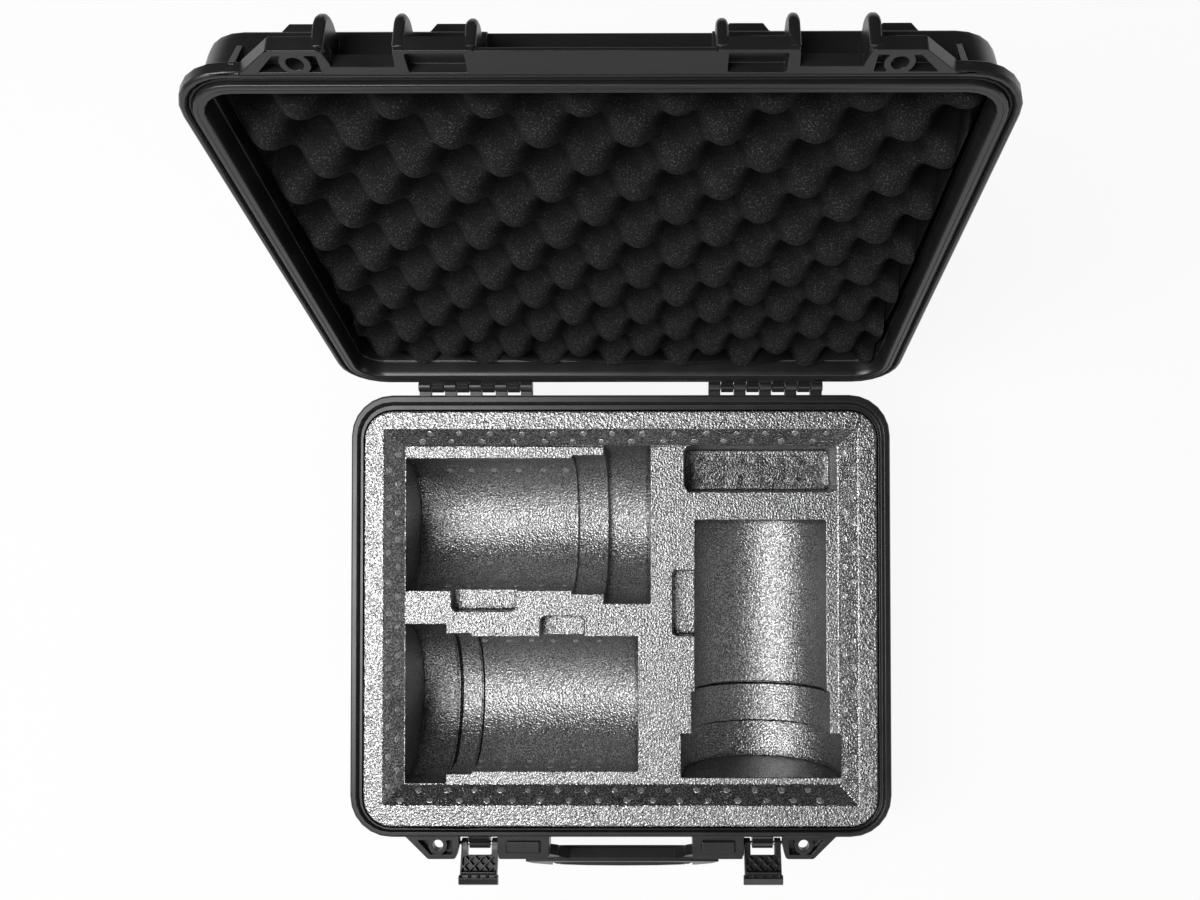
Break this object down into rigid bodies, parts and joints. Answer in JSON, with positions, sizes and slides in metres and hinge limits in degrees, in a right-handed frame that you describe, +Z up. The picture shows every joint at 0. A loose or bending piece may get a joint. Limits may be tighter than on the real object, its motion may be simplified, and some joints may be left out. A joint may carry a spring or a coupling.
{
  "type": "telescope carry case",
  "caption": "Rectangular hard case lying open: hinged lid with convoluted foam, base with a shaped foam tray bedding three optical tubes, snap latches and a folding carry handle.",
  "frame": {"origin": "middle of the flat raised panel on the underside of the base, at floor height", "axes": "X left to right along the front edge with the latches; Y from the latches towards the hinges; Z up, square to the rim of the base"},
  "size_m": [0.4224, 0.5364, 0.455],
  "materials": {
    "moulded_plastic": "satin black moulded polypropylene with a fine grain",
    "bead_foam": "grey speckled expanded bead foam",
    "open_cell_foam": "charcoal open-cell convoluted foam",
    "rubber": "matte black elastomer",
    "steel": "drawn steel pin"
  },
  "bodies": {
    "base": {"base_shell": "moulded_plastic", "foam_tray": "bead_foam", "hinge_pin_left": "steel", "hinge_pin_right": "steel", "latch_pin_left": "steel", "latch_pin_right": "steel", "handle_pin_left": "steel", "handle_pin_right": "steel", "vent_plug": "moulded_plastic", "vent_seal": "rubber"},
    "lid": {"lid_shell": "moulded_plastic", "foam_lid": "open_cell_foam", "lid_seal": "rubber"},
    "latch_left": {"latch_left": "moulded_plastic"},
    "latch_right": {"latch_right": "moulded_plastic"},
    "handle": {"handle_frame": "moulded_plastic", "handle_grip": "rubber"}
  },
  "joints": [
    {"name": "lid_hinge", "type": "hinge", "parent": "base", "child": "lid", "pos_m": [0, 0.17905, 0.108], "axis": [1, 0, 0], "range_deg": [0, 108.7]},
    {"name": "latch_left_pin", "type": "hinge", "parent": "base", "child": "latch_left", "pos_m": [-0.1113, -0.1805, 0.095], "axis": [1, 0, 0], "range_deg": [-70, 0]},
    {"name": "latch_right_pin", "type": "hinge", "parent": "base", "child": "latch_right", "pos_m": [0.1113, -0.1805, 0.095], "axis": [1, 0, 0], "range_deg": [-70, 0]},
    {"name": "handle_pins", "type": "hinge", "parent": "base", "child": "handle", "pos_m": [0, -0.1815, 0.0974], "axis": [1, 0, 0], "range_deg": [-61.5, 26]}
  ]
}
